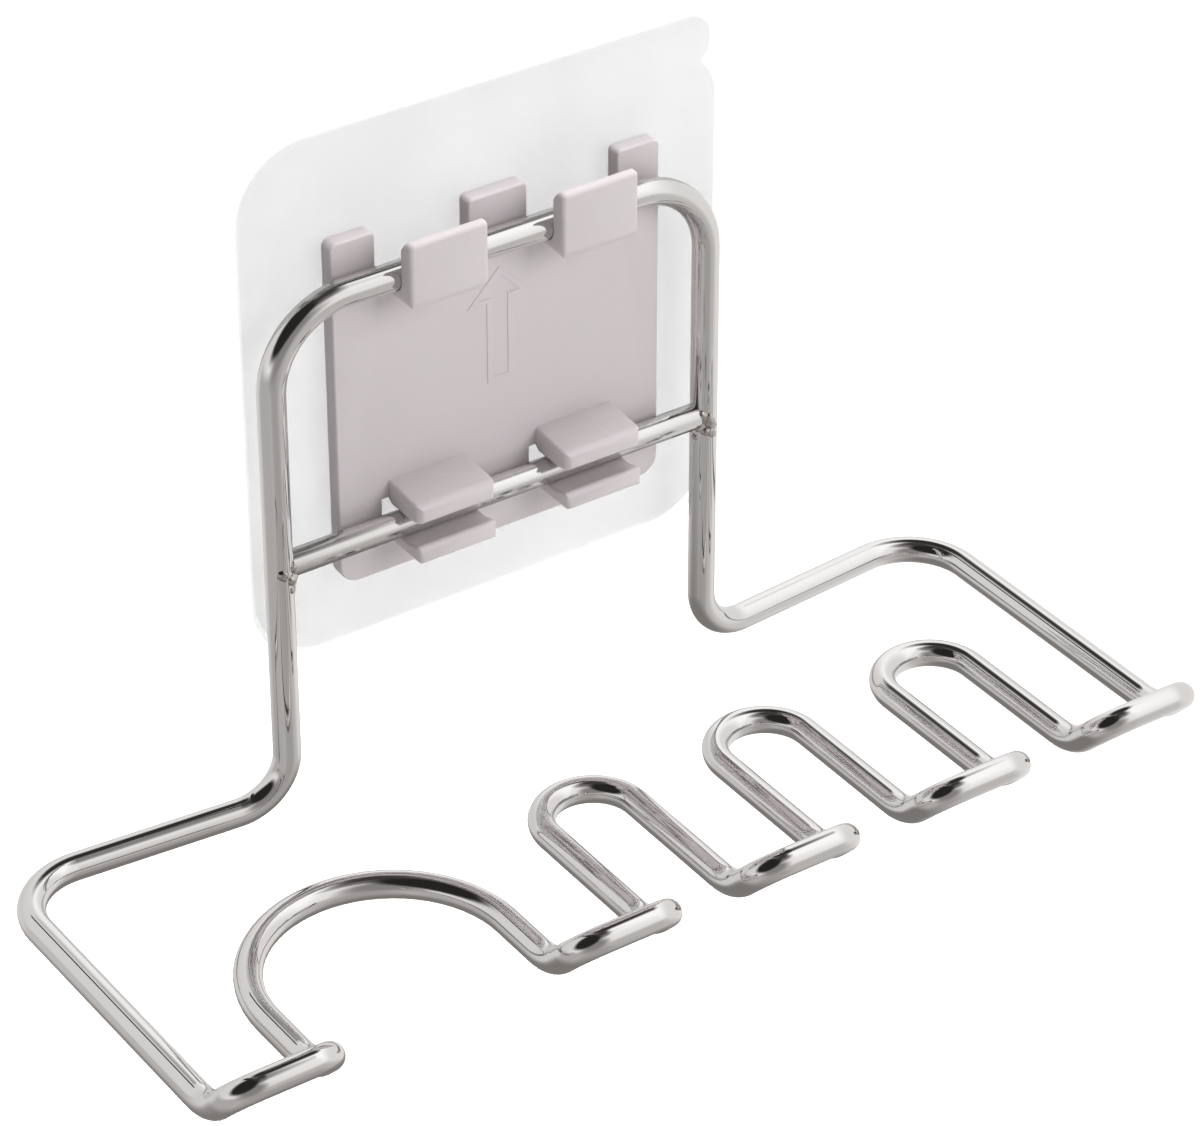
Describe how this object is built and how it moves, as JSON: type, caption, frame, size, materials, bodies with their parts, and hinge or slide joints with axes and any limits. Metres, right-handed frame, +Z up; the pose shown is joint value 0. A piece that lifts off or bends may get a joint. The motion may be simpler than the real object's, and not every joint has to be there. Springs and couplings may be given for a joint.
{
  "type": "toothbrush holder",
  "caption": "Wall-mounted bent-wire toothbrush and cup holder whose wire hanger hooks and snaps onto a stick-on plastic clip plate.",
  "frame": {"origin": "middle of the stick-on pad, on its wall-side face", "axes": "+X to the viewer's right along the shelf, +Y into the wall, +Z up"},
  "size_m": [0.1624, 0.0683, 0.1015],
  "materials": {
    "release_liner": "thin translucent siliconed film",
    "adhesive_layer": "clear soft gel adhesive",
    "backing_film": "translucent satin film",
    "clip_plate": "fine matte moulded surface",
    "rack_wire": "bright polished wire",
    "cross_bar": "bright polished wire",
    "weld_bead": "plated over a lumpy resistance weld"
  },
  "bodies": {
    "wall_plate": {"release_liner": "release_liner", "adhesive_layer": "adhesive_layer", "backing_film": "backing_film", "clip_plate": "clip_plate"},
    "rack": {"rack_wire": "rack_wire", "cross_bar": "cross_bar", "weld_bead_left": "weld_bead", "weld_bead_right": "weld_bead"}
  },
  "joints": [
    {"name": "rack_swing", "type": "hinge", "parent": "wall_plate", "child": "rack", "pos_m": [-0.0025, -0.0071, 0.0193], "axis": [-1, 0, 0], "range_deg": [0, 90]}
  ]
}
